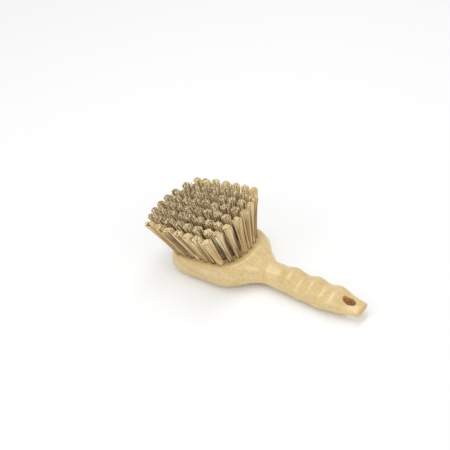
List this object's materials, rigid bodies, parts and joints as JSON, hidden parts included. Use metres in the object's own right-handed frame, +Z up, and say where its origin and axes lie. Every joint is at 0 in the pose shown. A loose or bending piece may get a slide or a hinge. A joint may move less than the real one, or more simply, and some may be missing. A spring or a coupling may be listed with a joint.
{
  "type": "pot brush",
  "caption": "Hand-held scrubbing brush for pots: a one-piece wooden head and contoured grip with a hanging hole, and rows of stiff fibre tufts that splay outwards.",
  "frame": {"origin": "the middle of the underside of the bounding box, on the table that the brush lies on", "axes": "+X runs from the head to the tail of the handle, +Z is up, the way the tufts point, and +Y is the side that is farther from the camera in the picture"},
  "size_m": [0.2386, 0.1022, 0.0744],
  "materials": {
    "wood": "satin lacquer",
    "fibre": "matt natural fibre"
  },
  "bodies": {
    "root": {"handle_block": "wood", "tuft_row_1": "fibre", "tuft_row_2": "fibre", "tuft_row_3": "fibre", "tuft_row_4": "fibre", "tuft_row_5": "fibre", "tuft_row_6": "fibre", "tuft_row_7": "fibre", "tuft_row_8": "fibre"}
  },
  "joints": []
}
